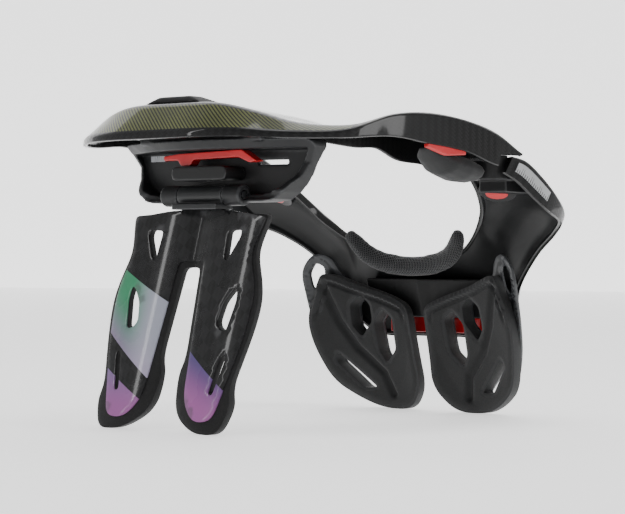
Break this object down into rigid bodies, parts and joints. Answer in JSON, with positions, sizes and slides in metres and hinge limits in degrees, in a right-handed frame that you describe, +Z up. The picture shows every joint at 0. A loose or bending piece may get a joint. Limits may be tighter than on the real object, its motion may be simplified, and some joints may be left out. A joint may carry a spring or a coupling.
{
  "type": "motocross neck brace",
  "caption": "Rigid two-part collar that stands on the shoulders, with a folding back strut, foam chest pads and quick-release shoulders.",
  "frame": {"origin": "middle of the box of the whole, on the floor that its feet and chest pads stand on", "axes": "+X to the wearer's left, +Y to the back where the strut is, +Z up"},
  "size_m": [0.3136, 0.3272, 0.2295],
  "materials": {
    "bib_carbon": "clear gloss over black carbon fibre cloth",
    "table_carbon": "clear gloss over green and black woven carbon fibre cloth",
    "strut_carbon": "clear gloss over black carbon cloth with printed green to violet blocks",
    "impact_rubber": "soft matte rubber",
    "backing_rubber": "matte rubber, finely ribbed at its side",
    "housing_plastic": "matte moulded nylon",
    "black_plastic": "satin moulded nylon",
    "shell_plastic": "satin moulded nylon",
    "pad_foam": "matte moulded foam",
    "arm_foam": "matte moulded foam with a soft skin",
    "mesh_textile": "black mesh textile over foam",
    "red_plastic": "bright red moulded plastic",
    "silver_scale": "satin metal with black tick marks",
    "pin_steel": "bright turned steel"
  },
  "bodies": {
    "front_half": {"front_frame": "bib_carbon", "front_neck_roll": "mesh_textile", "chest_bridge": "black_plastic", "chest_adjuster": "red_plastic", "pivot_pin": "pin_steel", "chest_shell_left": "shell_plastic", "chest_shell_right": "shell_plastic", "chest_pad_left": "pad_foam", "chest_pad_right": "pad_foam", "latch_boss_left": "black_plastic", "latch_boss_right": "black_plastic", "scale_plate_left": "silver_scale", "scale_plate_right": "silver_scale"},
    "rear_half": {"rear_frame": "table_carbon", "impact_pad": "impact_rubber", "strut_housing": "housing_plastic", "adjuster_clip": "red_plastic", "clip_pin": "pin_steel", "slider_block": "black_plastic", "hinge_pin": "pin_steel", "shoulder_pad_left": "arm_foam", "shoulder_pad_right": "arm_foam", "release_tab_left": "red_plastic", "release_tab_right": "red_plastic"},
    "strut": {"strut_knuckle": "black_plastic", "strut_plate": "strut_carbon", "strut_backing": "backing_rubber"},
    "button_left": {"release_button_left": "red_plastic"},
    "button_right": {"release_button_right": "red_plastic"}
  },
  "joints": [
    {"name": "collar_pivot", "type": "hinge", "parent": "front_half", "child": "rear_half", "pos_m": [0.128, -0.0486, 0.193], "axis": [0, 0, -1], "range_deg": [0, 55]},
    {"name": "strut_hinge", "type": "hinge", "parent": "rear_half", "child": "strut", "pos_m": [0, 0.1124, 0.162], "axis": [-1, 0, 0], "range_deg": [0, 60]},
    {"name": "button_left_press", "type": "slide", "parent": "front_half", "child": "button_left", "axis": [-0.2497, -0.6593, 0.7092], "range_m": [0, 0.0025], "stiffness_N_per_m": 400},
    {"name": "button_right_press", "type": "slide", "parent": "front_half", "child": "button_right", "axis": [0.2497, -0.6593, 0.7092], "range_m": [0, 0.0025], "stiffness_N_per_m": 400}
  ]
}
